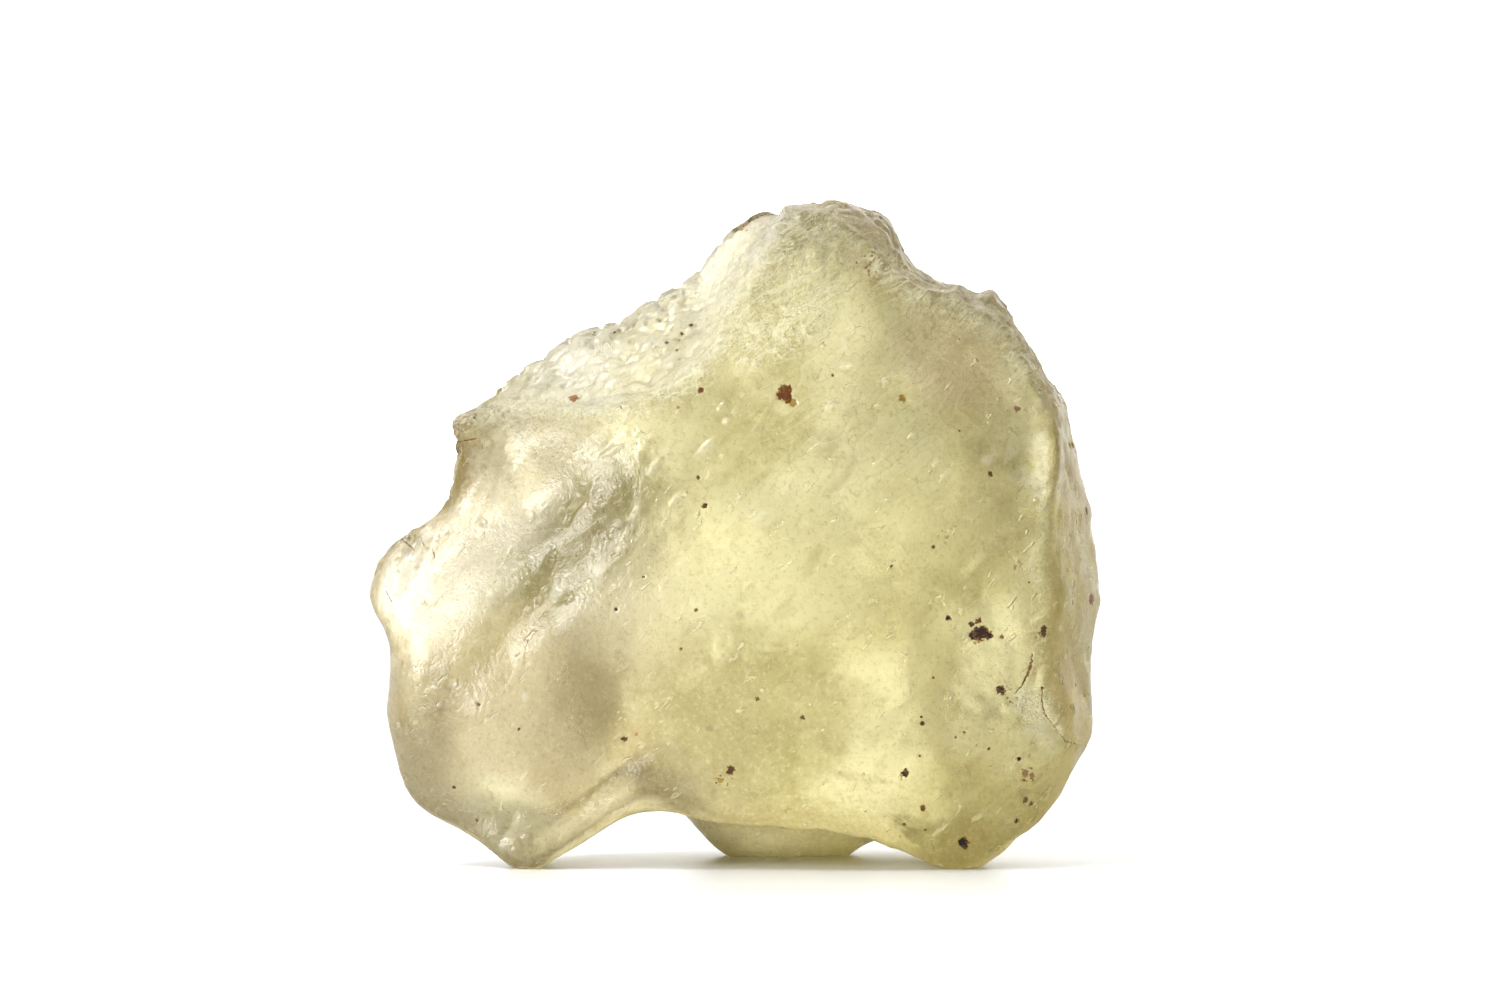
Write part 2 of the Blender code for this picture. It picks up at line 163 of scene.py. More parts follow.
# Mineral specks and stains as (across, up, radius), by colour.
SPECKS = {
    "red_black": [
        (3.45, 32.75, 0.42), (3.6, 32.25, 0.40), (3.2, 32.5, 0.28), (3.75, 32.95, 0.2),
        (-2.35, 32.8, 0.2), (24.7, 18.4, 0.4),
    ],
    "amber": [(4.05, 31.95, 0.24), (11.6, 32.25, 0.22), (-1.0, 5.8, 0.18)],
    "rust": [(-11.1, 32.3, 0.3), (-3.9, 31.6, 0.12), (-6.8, 9.0, 0.1)],
    "brown": [
        (-2.0, 24.8, 0.2), (17.7, 27.0, 0.18), (-8.2, 17.65, 0.13), (-7.6, 8.65, 0.22),
        (-14.9, 9.35, 0.1), (-17.7, 11.05, 0.12), (-0.3, 6.5, 0.28), (11.8, 6.3, 0.28),
        (13.0, 9.75, 0.15), (21.4, 16.25, 0.26), (21.4, 15.9, 0.2), (13.0, 3.9, 0.2),
        (20.1, 4.4, 0.22), (20.5, 4.2, 0.2), (17.6, 8.0, 0.1), (-19.4, 5.3, 0.13), (24.35, 24.5, 0.25),
    ],
    "grey": [
        (-2.5, 26.75, 0.13), (6.8, 33.85, 0.1), (15.55, 30.0, 0.08), (-3.0, 37.3, 0.16),
        (-3.6, 36.7, 0.12), (-4.7, 36.1, 0.14), (-4.0, 35.6, 0.12), (-2.65, 17.6, 0.13),
        (1.6, 11.45, 0.15), (-6.3, 19.9, 0.1), (-3.7, 14.9, 0.1), (4.7, 10.15, 0.15),
        (13.75, 21.95, 0.13), (10.85, 20.6, 0.1), (-17.8, 3.05, 0.12),
        (15.9, 9.15, 0.1), (15.3, 8.8, 0.08), (12.8, 7.5, 0.08), (20.0, 5.8, 0.12),
        (23.6, 12.4, 0.1), (24.2, 11.7, 0.12), (23.0, 14.7, 0.08), (20.4, 19.5, 0.08),
        (13.75, 12.9, 0.1), (11.75, 2.75, 0.13), (-8.3, 36.8, 0.1),
    ],
    "purple": [
        (16.8, 15.95, 0.52), (17.25, 16.0, 0.46), (17.55, 15.8, 0.26), (16.4, 16.6, 0.18),
        (16.9, 16.85, 0.2), (14.75, 17.05, 0.2), (18.45, 12.05, 0.32), (18.5, 15.75, 0.14),
        (12.9, 10.2, 0.08), (21.3, 12.2, 0.1),
    ],
    "pink": [(19.6, 31.5, 0.2), (20.1, 6.35, 0.2), (20.55, 6.2, 0.16)],
    "black": [
        (15.8, 1.55, 0.34), (15.95, 1.2, 0.2), (13.2, 2.4, 0.09), (19.5, 3.0, 0.2), (5.9, 37.9, 0.06),
        (6.05, 43.95, 0.06), (-18.0, 30.9, 0.07), (-8.0, 31.7, 0.08), (19.65, 7.3, 0.16),
    ],
}
# Stains made of many small grains, as (across, up, radius, how many, colour).
GRAIN_STAINS = [
    (20.35, 6.3, 0.62, 16, "purple"), (19.25, 11.2, 0.5, 9, "pink"), (19.5, 20.6, 0.5, 9, "rust"),
    (9.3, 41.3, 1.1, 18, "rust"), (10.2, 42.3, 0.9, 10, "pink"), (14.7, 22.6, 0.6, 7, "brown"),
    (17.0, 16.0, 0.75, 14, "purple"), (-0.75, 6.1, 0.7, 9, "brown"), (21.3, 15.9, 0.6, 10, "brown"),
    (-4.0, 36.4, 1.6, 10, "grey"), (3.5, 32.4, 0.7, 9, "amber"), (24.3, 24.4, 0.5, 8, "brown"),
    (18.6, 12.1, 0.45, 6, "purple"), (1.1, 44.1, 0.5, 5, "grey"), (9.8, 41.6, 1.0, 16, "brown"),
]
# Cracks and lines as (from across, up, to across, up, half width, colour).
CRACKS = [
    (-19.1, 29.2, -17.9, 29.45, 0.05, "brown"),
    (20.6, 14.6, 20.55, 13.9, 0.05, "purple"), (20.55, 13.9, 20.25, 13.1, 0.10, "red_black"),
    (20.25, 13.1, 19.9, 12.4, 0.07, "purple"), (19.9, 12.4, 19.35, 11.8, 0.04, "brown"),
    (-8.0, 31.9, -7.8, 31.5, 0.04, "brown"),
    (21.2, 12.2, 21.45, 10.4, 0.04, "brown"), (21.45, 10.4, 22.9, 8.5, 0.04, "brown"),
    (22.9, 8.5, 24.2, 8.2, 0.04, "brown"),
    (-22.9, 22.5, -22.1, 21.7, 0.035, "grey"), (-21.8, 22.7, -21.4, 22.0, 0.03, "grey"),
    (-24.1, 18.9, -23.7, 18.2, 0.035, "grey"), (-20.9, 21.8, -20.7, 21.2, 0.03, "grey"),
]
# Pits and knobs of the front that catch the light, as (across, up, half length, half width, turn in
# degrees, height). A negative height is a pit.
LIGHT_MARKS = [
    (-10.9, 24.9, 1.0, 0.28, 45, -0.16), (-14.2, 24.0, 0.55, 0.42, 60, -0.16),
    (-17.4, 23.7, 0.45, 0.3, -45, -0.12), (-19.5, 12.5, 0.5, 0.42, 40, -0.14),
    (-15.9, 21.3, 0.9, 0.3, 60, -0.12), (-21.4, 21.3, 1.3, 0.4, 65, -0.14),
    (-1.5, 9.7, 0.6, 0.5, 30, -0.12), (-1.0, 15.2, 0.8, 0.5, 70, 0.16),
    (-0.7, 31.6, 0.6, 0.45, 45, 0.14), (-0.5, 30.7, 0.4, 0.3, 20, 0.12),
    (1.5, 34.5, 0.5, 0.4, 80, 0.14), (7.6, 36.2, 0.4, 0.3, 0, 0.12), (7.7, 34.6, 0.6, 0.3, 10, 0.12),
    (6.7, 31.8, 0.7, 0.25, 40, 0.12), (6.45, 39.6, 0.4, 0.3, 0, 0.12),
    (-13.5, 18.3, 0.35, 0.25, 45, 0.12), (-13.0, 19.0, 0.3, 0.22, 45, 0.1),
    (-14.2, 17.6, 0.3, 0.22, 45, 0.1), (-11.4, 18.3, 0.4, 0.25, 45, 0.1),
    (-14.5, 11.5, 0.4, 0.3, 60, 0.1), (-14.4, 1.9, 0.4, 0.3, 0, 0.12),
    (19.5, 27.8, 4.4, 2.6, 95, -0.20), (-22.4, 21.9, 1.0, 0.6, 60, -0.25),
    (-23.2, 19.6, 1.2, 0.7, 80, 0.2),
    (-2.0, 28.8, 1.0, 0.35, 45, 0.10), (-5.5, 27.5, 0.9, 0.35, 50, 0.10),
    (-4.0, 25.3, 0.8, 0.3, 45, 0.08), (1.8, 24.0, 0.9, 0.3, 40, 0.07), (-8.5, 28.6, 1.1, 0.3, 30, 0.08),
]
# Grooves as (from across, up, to across, up, half width, depth).
GROOVES = [
    (-16.6, 29.0, -18.0, 26.4, 0.30, 0.10),
    (-15.2, 3.3, -16.2, 1.5, 0.24, 0.16),
    (-10.2, 26.2, -11.6, 23.6, 0.16, 0.08),
    (21.0, 13.4, 20.0, 10.0, 0.30, 0.20),
    (20.0, 10.0, 22.2, 9.3, 0.26, 0.16),
    (3.0, 8.0, 7.4, 6.5, 0.35, 0.10),
    (7.4, 6.5, 11.5, 5.9, 0.35, 0.10),
    (13.5, 23.9, 17.0, 23.6, 0.30, 0.10),
    (17.0, 23.6, 20.0, 22.5, 0.30, 0.10),
]

# Knobs and notches of the outline, as (across, up, reach, height).
OUTLINE_MARKS = [
    (-19.3, 28.7, 1.3, -0.36), (-19.2, 30.6, 0.8, 0.16), (15.4, 39.6, 0.8, 0.40),
    (16.4, 39.2, 0.6, -0.50), (17.7, 39.3, 0.9, 0.42), (20.2, 35.6, 0.7, -0.16),
    (21.9, 33.0, 0.7, 0.14), (11.4, 41.6, 0.8, -0.16), (2.9, 45.3, 0.9, -0.22),
    (8.4, 44.9, 0.8, 0.14), (24.6, 24.4, 0.8, 0.14), (25.2, 18.4, 0.9, 0.10),
    (24.0, 14.5, 1.2, -0.14), (-22.3, 23.1, 0.6, 0.16), (-24.6, 20.9, 0.6, 0.10),
    (-8.0, 38.7, 0.8, -0.16), (-14.9, 34.9, 0.5, 0.14), (-13.6, 35.4, 0.5, -0.16),
    (-16.2, 33.3, 0.4, -0.12),
]

SEED = 29
LOBE_ROUNDS = 14
FOOT_HEIGHT = 0.25

# The marks are raised and sunk by this factor. Longer ones than LONG_MARK are broad enough for the
# mesh as it is, and narrower ones than NARROW_MARK get a painted white highlight.
MARK_HEIGHT = 1.25
LONG_MARK = 2.0
NARROW_MARK = 0.45

# Scattered pits: how many, and the ranges of half width, stretch and depth per half width. One in
# three is a low knob instead.
SCATTERED_PITS = 900
PIT_HALF_WIDTHS = (0.26, 0.5)
PIT_STRETCHES = (1.0, 2.4)
PIT_DEPTHS = (0.12, 0.3)
PIT_OR_KNOB = (1, 1, -0.6)

# Specks: how many are scattered over the sides and the back, how far beyond each one the mesh is
# divided in each round, and how deep they are sunk.
SCATTERED_SPECKS = 70
SPECK_SPARES = (0.22, 0.08)
SPECK_DEPTH = 0.05
# Where a soft tint ends, in half sizes from its middle.
TINT_REACH = 1.6

# The glass as a material: how much light it takes in for each metre, how much it lets through, how
# strongly it bends light, and how high its finest bumps are.
GLASS_DENSITY = 42.0
SEE_THROUGH = 0.80
BENDING = 1.46
BUMP_HEIGHT = 0.2
# Middles of the two places that have scale-like lines, on the front and on the back.
SCALY_PLACES = [(8.5, -8.0, 32.0), (-7.0, 9.0, 18.0)]

# The studio: square softboxes as (name, place, size, power), and what fills the rest.
SOFTBOXES = [
    ("left_softbox", (-0.38, -0.24, 0.14), 0.13, 2.1),
    ("upper_left_softbox", (-0.27, -0.06, 0.44), 0.12, 1.9),
    ("right_softbox", (0.34, -0.28, 0.14), 0.14, 0.25),
]
STUDIO_MIDDLE = (0.0, 0.0, 0.022)
OVERHEAD_POWER = 2.2
OVERHEAD_ANGLE = 80
OVERHEAD_TILT = (-25, -20)
ROOM_STRENGTH = 0.58
BACKDROP_STRENGTH = 1.80
PICTURE_GAMMA = 0.85


def smooth_share(value, low, high):
    """0 at low, 1 at high, eased between them."""
    share = min(1.0, max(0.0, (value - low) / (high - low)))
    return share * share * (3.0 - 2.0 * share)


def seen(point):
    """Where the reading view shows a point, in the plane of the tips."""
    spread = READ_DISTANCE / (point.y - EYE.y)
    return EYE.x + (point.x - EYE.x) * spread, EYE.z + (point.z - EYE.z) * spread


def beside_line(across, up, line):
    """Distance to a line of several stretches, above zero on its left-hand side."""
    nearest, side = math.inf, 1.0
    for (x0, z0), (x1, z1) in zip(line, line[1:]):
        dx, dz = x1 - x0, z1 - z0
        share = ((across - x0) * dx + (up - z0) * dz) / (dx * dx + dz * dz)
        share = min(1.0, max(0.0, share))
        offset_x, offset_z = across - x0 - share * dx, up - z0 - share * dz
        distance = math.hypot(offset_x, offset_z)
        if distance < nearest:
            nearest, side = distance, math.copysign(1.0, dx * offset_z - dz * offset_x)
    return nearest * side


def off_line(across, up, line):
    """Distance to a line of several stretches."""
    return abs(beside_line(across, up, line))


def bump_of(across, up, mark):
    """1 in the middle of a turned oval, 0 outside it."""
    middle_x, middle_z, half_length, half_width, turn = mark[:5]
    turn = math.radians(turn)
    dx, dz = across - middle_x, up - middle_z
    along = (dx * math.cos(turn) + dz * math.sin(turn)) / half_length
    aside = (dz * math.cos(turn) - dx * math.sin(turn)) / half_width
    return max(0.0, 1.0 - along * along - aside * aside)


class Surface:
    """The reading view's look-up of a mesh: which of its points lie near a place on the front."""

    def __init__(self, bm):
        self.verts = [v for v in bm.verts if v.normal.y < 0.4]
        self.tree = KDTree(len(self.verts))
        for index, vertex in enumerate(self.verts):
            self.tree.insert((*seen(vertex.co), 0.0), index)
        self.tree.balance()

    def near(self, across, up, reach):
        """The points within a distance, each with where the view shows it."""
        for place, index, _ in self.tree.find_range((across, up, 0.0), reach):
            yield self.verts[index], place.x, place.y


def copy_of_frame_mesh(name):
    """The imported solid's mesh in millimetres, its loose triangles joined."""
    bm = bmesh.new()
    bm.from_mesh(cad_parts[name].data)
    bmesh.ops.remove_doubles(bm, verts=bm.verts, dist=1e-6)
    bmesh.ops.scale(bm, vec=(1 / MM, 1 / MM, 1 / MM), verts=bm.verts)
    bm.normal_update()
    return bm


def refine(bm):
    """Divides every triangle twice, takes the facets out of the surface and rounds the lobe's edge."""
    axes = {"use_axis_x": True, "use_axis_y": True, "use_axis_z": True}
    for _ in range(2):
        bmesh.ops.subdivide_edges(bm, edges=bm.edges, cuts=1, use_grid_fill=True)
        soft = [v for v in bm.verts if v.co.z > FOOT_HEIGHT]
        bmesh.ops.smooth_vert(bm, verts=soft, factor=0.5, **axes)
    front = [v for v in bm.verts if v.normal.y < 0.3 and v.co.z > FOOT_HEIGHT]
    worn = [v for v in front if off_line(*seen(v.co), LOBE_EDGE) < LOBE_WEAR]
    for _ in range(LOBE_ROUNDS):
        bmesh.ops.smooth_vert(bm, verts=worn, factor=0.5, **axes)
    bmesh.ops.triangulate(bm, faces=bm.faces)
    bm.normal_update()


def inside_dish(across, up):
    """How far a place lies inside the dish's circle, below zero outside it."""
    return DISH_RADIUS - math.hypot(across - DISH_MIDDLE[0], up - DISH_MIDDLE[1])


def flakiness(across, up):
    """How rough and flaked the front is at a place: along its broken edges and near the peak."""
    bands = [
        strength * math.exp(-((off_line(across, up, line) / width) ** 2))
        for line, strength, width in FLAKED_BANDS
    ]
    shoulder = 0.9 * smooth_share(bump_of(across, up, FLAKED_SHOULDER), 0.0, 0.5)
    chip = 0.7 * bump_of(across, up, FLAKED_CHIP)
    return min(1.0, max(*bands, shoulder, chip))


def crests(across, up):
    """The crisp edges between the faces of the front, and the dish cut behind one of them."""
    height = sum(rise * math.exp(-off_line(across, up, line) / fall) for line, rise, fall in CRESTS)
    height *= 1.0 + 0.8 * noise.noise(Vector((across / 2.3, 7.0, up / 2.3)))
    return height - 0.28 * smooth_share(inside_dish(across, up), 0.0, 1.6)


def left_share(across, up):
    """0 in the yellow middle of the front, 1 on its pale left."""
    return smooth_share(-across - 0.35 * (up - 20.0), -1.0, 11.0)


def front_share(normal):
    """1 on the front, 0 on the back."""
    return smooth_share(0.2 - normal.y, 0.0, 0.3)


def calm_share(point, normal):
    """How much a point belongs to the smooth left, which shows through to the back."""
    return left_share(*seen(point)) * (0.7 + 0.3 * front_share(normal))


def outline_share(normal, across, up):
    """How near a place is to the outline's worn upper edge."""
    worn = smooth_share(up - 0.5 * max(0.0, across), 17.0, 24.0)
    return smooth_share(0.85 - abs(normal.y), 0.0, 0.5) * worn


def relief(point, normal):
    """Height of the fine relief at a point of the surface."""
    across, up = seen(point)
    front = front_share(normal)
    rough = 0.25 * (1.0 - front) + flakiness(across, up) * front
    lively = 1.0 - 0.7 * calm_share(point, normal) * (1.0 - rough)
    slanted = Vector(((point.x + point.z) / 4.6, point.y / 3.4, (point.z - point.x) / 1.5))
    height = 0.13 * noise.noise(point / 2.6) + 0.07 * noise.noise(point / 1.1)
    height += 0.075 * noise.noise(slanted) + 0.035 * noise.noise(point / 0.5)
    height = lively * (height + 0.03 * noise.noise(slanted * 2.3)) + crests(across, up) * front
    scoop = noise.voronoi(point / 2.1)[0][0]
    height -= 0.06 * max(0.0, 0.5 - scoop) * (0.5 + 0.5 * noise.noise(point / 6.0))
    edge = 1.0 - abs(noise.noise(point / 0.85))
    height += rough * (0.32 * (edge - 0.75) + 0.13 * noise.noise(point / 0.45))
    step = noise.noise(point / 0.9) + 0.6 * noise.noise(point / 0.42)
    height -= 0.36 * outline_share(normal, across, up) * smooth_share(step, -0.1, 0.5)
    return height


def step_back(point, normal):
    """How far the faces behind the peak's edge and behind the dish's edge stand back."""
    across, up = seen(point)
    if normal.y > 0.3 or up < 29.0:
        return 0.0
    behind_peak = smooth_share(beside_line(across, up, PEAK_EDGE), 0.0, 0.5)
    behind_dish = beside_line(across, up, DISH_RIDGE)
    behind_dish = smooth_share(behind_dish, 0.0, 0.6) * (1.0 - smooth_share(behind_dish, 1.2, 3.6))
    behind_dish *= 0.35 + 0.65 * smooth_share(up, 32.0, 38.0)
    return 0.8 * max(behind_peak, behind_dish) * smooth_share(0.3 - normal.y, 0.0, 0.3)


def raise_relief(bm):
    """Moves the surface by its relief, less near the feet."""
    moves = []
    for vertex in bm.verts:
        keep = smooth_share(vertex.co.z, 0.0, 1.5)
        move = vertex.normal * relief(vertex.co, vertex.normal) * keep
        moves.append(move + Vector((0.0, step_back(vertex.co, vertex.normal), 0.0)))
    for vertex, move in zip(bm.verts, moves):
        vertex.co += move
    bm.normal_update()


def sink_scattered_pits(bm, chance):
    """Small wind-worn pits and low knobs all over, longer along a slant than across it."""
    verts = list(bm.verts)
    tree = KDTree(len(verts))
    for index, vertex in enumerate(verts):
        tree.insert(vertex.co, index)
    tree.balance()
    slant = Vector((1.0, 0.0, 1.0)).normalized()
    for _ in range(SCATTERED_PITS):
        middle = verts[chance.randrange(len(verts))]
        centre, inward = middle.co.copy(), middle.normal.copy()
        half_width = chance.uniform(*PIT_HALF_WIDTHS)
        half_length = half_width * chance.uniform(*PIT_STRETCHES)
        depth = half_width * chance.uniform(*PIT_DEPTHS) * chance.choice(PIT_OR_KNOB)
        depth *= 1.0 - 0.6 * calm_share(centre, inward)
        if centre.z < 1.0:
            continue
        along = slant + Vector((chance.uniform(-0.5, 0.5), 0.0, chance.uniform(-0.5, 0.5)))
        along = (along - inward * along.dot(inward)).normalized()
        aside = inward.cross(along)
        for _, index, _ in tree.find_range(centre, half_length):
            offset = verts[index].co - centre
            length = offset.dot(along) / half_length
            width = offset.dot(aside) / half_width
            strength = max(0.0, 1.0 - length * length - width * width)
            verts[index].co -= inward * depth * strength
    bm.normal_update()


def spot(surface, across, up):
    """The place on the surface that the reading view shows at (across, up), or None."""
    aim = Vector((across, EYE.y + READ_DISTANCE, up)) - EYE
    return surface.ray_cast(EYE, aim.normalized())[0]


def refine_near(bm, places, spare):
    """Divides the triangles that lie within a place's radius, and a little beyond it."""
    tree = KDTree(len(places))
    for index, (place, _) in enumerate(places):
        tree.insert(place, index)
    tree.balance()
    reach = max(radius for _, radius in places) + spare
    edges = set()
    for face in bm.faces:
        for _, index, distance in tree.find_range(face.calc_center_median(), reach):
            if distance < places[index][1] + spare:
                edges.update(face.edges)
                break
    bmesh.ops.subdivide_edges(bm, edges=list(edges), cuts=1, use_grid_fill=True)
    bmesh.ops.triangulate(bm, faces=[f for f in bm.faces if len(f.verts) > 3])
    bm.normal_update()


def shape_marks(bm):
    """The pits, knobs and grooves of the front, each where the photo's view shows it."""
    surface = BVHTree.FromBMesh(bm)
    short = [mark for mark in LIGHT_MARKS if mark[2] < LONG_MARK]
    found = [(spot(surface, mark[0], mark[1]), mark[2]) for mark in short]
    refine_near(bm, [(place, reach) for place, reach in found if place], 0.1)
    front = Surface(bm)
    moves = {}
    for mark in LIGHT_MARKS:
        for vertex, across, up in front.near(mark[0], mark[1], max(mark[2], mark[3])):
            height = MARK_HEIGHT * mark[5] * bump_of(across, up, mark)
            moves[vertex] = moves.get(vertex, 0.0) + height
    for middle_x, middle_z, reach, height in OUTLINE_MARKS:
        for vertex, across, up in front.near(middle_x, middle_z, reach):
            share = 1.0 - math.hypot(across - middle_x, up - middle_z) / reach
            moves[vertex] = moves.get(vertex, 0.0) + height * smooth_share(share, 0.0, 1.0)
    for x0, z0, x1, z1, half_width, depth in GROOVES:
        reach = math.hypot(x1 - x0, z1 - z0) / 2 + 2 * half_width
        for vertex, across, up in front.near((x0 + x1) / 2, (z0 + z1) / 2, reach):
            aside = off_line(across, up, [(x0, z0), (x1, z1)]) / half_width
            moves[vertex] = moves.get(vertex, 0.0) - depth * math.exp(-aside * aside)
    for vertex, height in moves.items():
        vertex.co += vertex.normal * height
    bm.normal_update()


def scattered_specks(bm, chance):
    """Specks of the sides and the back, as (place, radius, colour, share)."""
    hidden = [v for v in bm.verts if v.normal.y > 0.15 and v.co.z > 1.0]
    names = ["grey"] * 5 + ["brown"] * 4 + ["red_black", "purple", "rust", "black", "amber"]
    for _ in range(SCATTERED_SPECKS):
        place = hidden[chance.randrange(len(hidden))].co.copy()
        radius = 0.08 + 0.34 * chance.random() ** 3
        yield place, radius, SPECK_COLOURS[chance.choice(names)], 1.0


def all_specks(bm, chance):
    """Every speck as (place on the surface, radius, colour, share)."""
    surface = BVHTree.FromBMesh(bm)
    marks = [(*mark, name, 1.0) for name, listed in SPECKS.items() for mark in listed]
    for middle_x, middle_z, spread, count, name in GRAIN_STAINS:
        for _ in range(count):
            turn, out = chance.uniform(0.0, math.tau), spread * chance.random() ** 0.7
            across, up = middle_x + out * math.cos(turn), middle_z + out * math.sin(turn)
            marks.append((across, up, chance.uniform(0.05, 0.11), name, 0.62))
    found = list(scattered_specks(bm, chance))
    for across, up, radius, name, share in marks:
        place = spot(surface, across, up)
        if place:
            found.append((place, radius, SPECK_COLOURS[name], share))
    return found


def crack_specks(bm):
    """The cracks as rows of small specks."""
    surface = BVHTree.FromBMesh(bm)
    for x0, z0, x1, z1, half_width, name in CRACKS:
        steps = max(2, round(math.hypot(x1 - x0, z1 - z0) / half_width))
        for step in range(steps + 1):
            share = step / steps
            across = x0 + (x1 - x0) * share + 0.1 * noise.noise(Vector((x0, z0, 5.0 * share)))
            place = spot(surface, across, z0 + (z1 - z0) * share)
            if place:
                yield place, half_width, SPECK_COLOURS[name], 0.9


def paint_specks(bm, specks):
    """Refines the mesh at each speck, sinks it a little and colours it."""
    places = [(place, radius) for place, radius, _, _ in specks]
    for spare in SPECK_SPARES:
        refine_near(bm, places, spare)
    stain = bm.verts.layers.float_color.new("stain")
    tree = KDTree(len(bm.verts))
    bm.verts.ensure_lookup_table()
    for index, vertex in enumerate(bm.verts):
        vertex[stain] = (0.0, 0.0, 0.0, 0.0)
        tree.insert(vertex.co, index)
    tree.balance()
    for place, radius, tint, share in specks:
        for where, index, distance in tree.find_range(place, radius * 2.0 + 0.05):
            ragged = 0.5 * noise.noise(where * (1.0 / radius)) + 0.5 * noise.noise(where / 0.12)
            ragged = radius * max(0.3, 1.05 + ragged)
            strength = share * (1.0 - smooth_share(distance, 0.6 * ragged, 1.4 * ragged))
            vertex = bm.verts[index]
            if strength >= vertex[stain][3]:
                vertex[stain] = (*tint, strength)
    for vertex in bm.verts:
        if vertex[stain][3] > 0:
            vertex.co -= vertex.normal * SPECK_DEPTH * vertex[stain][3]
    bm.normal_update()


def dish_edge(across, up):
    """1 along the crisp lower edge of the dish, where a painted highlight runs, 0 away from it."""
    return math.exp(-((off_line(across, up, DISH_RIDGE) / 0.45) ** 2))


def listed_tints(across, up, wobble):
    """The listed tints, and a painted white highlight on the narrow marks."""
    for middle_x, middle_z, half_length, half_width, turn, name, share in TINTS:
        reach = (TINT_REACH * half_length, TINT_REACH * half_width)
        strength = bump_of(across, up, (middle_x, middle_z, *reach, turn))
        if strength > 0.0:
            yield TINT_COLOURS[name], share * smooth_share(strength + wobble, 0.0, 0.95)
    # Painted highlights: white on the narrow pits and knobs.
    for mark in LIGHT_MARKS:
        strength = bump_of(across, up, mark)
        if strength > 0.0 and mark[3] < NARROW_MARK:
            yield TINT_COLOURS["white"], 0.35 * smooth_share(strength + 2.0 * wobble, 0.1, 0.8)


def right_tints(across, up, wobble):
    """The tints of the right: beside the ridge, a painted highlight in its hollow, and the facet behind
    it.
    """
    right = beside_line(across, up, RIGHT_RIDGE)
    if up > 34.0 or right < -5.0:
        return
    beside = smooth_share(right, -1.6, -0.2) * (1.0 - smooth_share(up, 20.0, 24.5))
    yield TINT_COLOURS["olive"], 0.30 * beside
    # Painted highlight: white in the hollow beside the ridge.
    width = 1.1 + 0.5 * max(0.0, up - 25.0)
    hollow = smooth_share(-right, 0.0, 0.2) * math.exp(-((right / width) ** 2))
    hollow *= smooth_share(up, 23.6, 26.0) * (1.0 - smooth_share(up, 28.6, 30.4))
    yield TINT_COLOURS["white"], 0.70 * smooth_share(hollow + 3.6 * wobble, 0.25, 0.95)
    # Partly the facet's own tan, partly painted shade of a face turned away from the left light.
    facet = smooth_share(right, 0.0, 0.4) * (1.0 - smooth_share(up, 26.0, 34.0))
    yield TINT_COLOURS["tan"], 0.28 * facet


def top_tints(across, up, wobble):
    """The tints of the top: the horn, and along the peak's and the dish's edges painted shade and a
    painted highlight.
    """
    if up < 28.0:
        return
    horn = beside_line(across, up, DISH_RIDGE)
    above = smooth_share(up, 37.0, 40.5)
    yield TINT_COLOURS["white"], 0.55 * smooth_share(horn, 0.0, 0.35) * above
    # Partly the glass's olive, partly painted shade that makes the dish's edge read below the horn.
    inside = math.exp(-(((horn + 0.9) / 0.8) ** 2)) * above
    yield TINT_COLOURS["olive"], 0.50 * inside
    behind = beside_line(across, up, PEAK_EDGE)
    strip = smooth_share(behind, 0.1, 0.4) * (1.0 - smooth_share(behind, 2.2, 4.0))
    yield TINT_COLOURS["pinkish"], 0.75 * strip
    yield TINT_COLOURS["white"], 0.45 * strip * smooth_share(wobble, -0.05, 0.10)
    # Painted shadow: a thin brown line just behind the peak's edge.
    shade = math.exp(-(((behind - 0.12) / 0.16) ** 2)) * smooth_share(across, 6.0, 9.0)
    yield TINT_COLOURS["brown"], 0.6 * shade * smooth_share(wobble, -0.12, 0.06)
    # Painted highlight: a broken white line along the peak's and the dish's edges.
    edge = max(math.exp(-(((behind + 0.35) / 0.35) ** 2)), dish_edge(across, up))
    yield TINT_COLOURS["white"], 0.8 * edge * smooth_share(wobble, -0.04, 0.08)


def tints_at(across, up, wobble):
    """The soft tints that reach a place, as (colour, share), the lowest layer first."""
    yield from listed_tints(across, up, wobble)
    yield from right_tints(across, up, wobble)
    yield from top_tints(across, up, wobble)


def soft_tint(across, up, point, front):
    """The soft tints of a place laid over each other, as a colour and a share."""
    layered, whole = Vector((0.0, 0.0, 0.0)), 0.0
    wobble = 0.2 * noise.noise(point / 1.3) + 0.15 * noise.noise(point / 0.5)
    cloud = noise.noise(point / 6.0) + wobble
    patches = [
        (TINT_COLOURS["milky"], 0.7 * (1.0 - front) * smooth_share(cloud, 0.0, 0.35)),
        (TINT_COLOURS["olive"], 0.5 * (1.0 - front) * smooth_share(-cloud, 0.05, 0.4)),
    ]
    patches += [(tint, share * front) for tint, share in tints_at(across, up, wobble)]
    for tint, share in patches:
        layered = layered * (1.0 - share) + Vector(tint) * share
        whole = whole * (1.0 - share) + share
    if whole > 0.001:
        layered /= whole
    return (*layered, whole)


def clouded(place, size, fine=0.5):
    """Soft clouds of about this size, mostly between 0.25 and 0.75."""
    broad = noise.noise(place / size)
    return 0.5 + 0.5 * (broad + fine * noise.noise(place * (2.1 / size))) / (1.0 + fine)


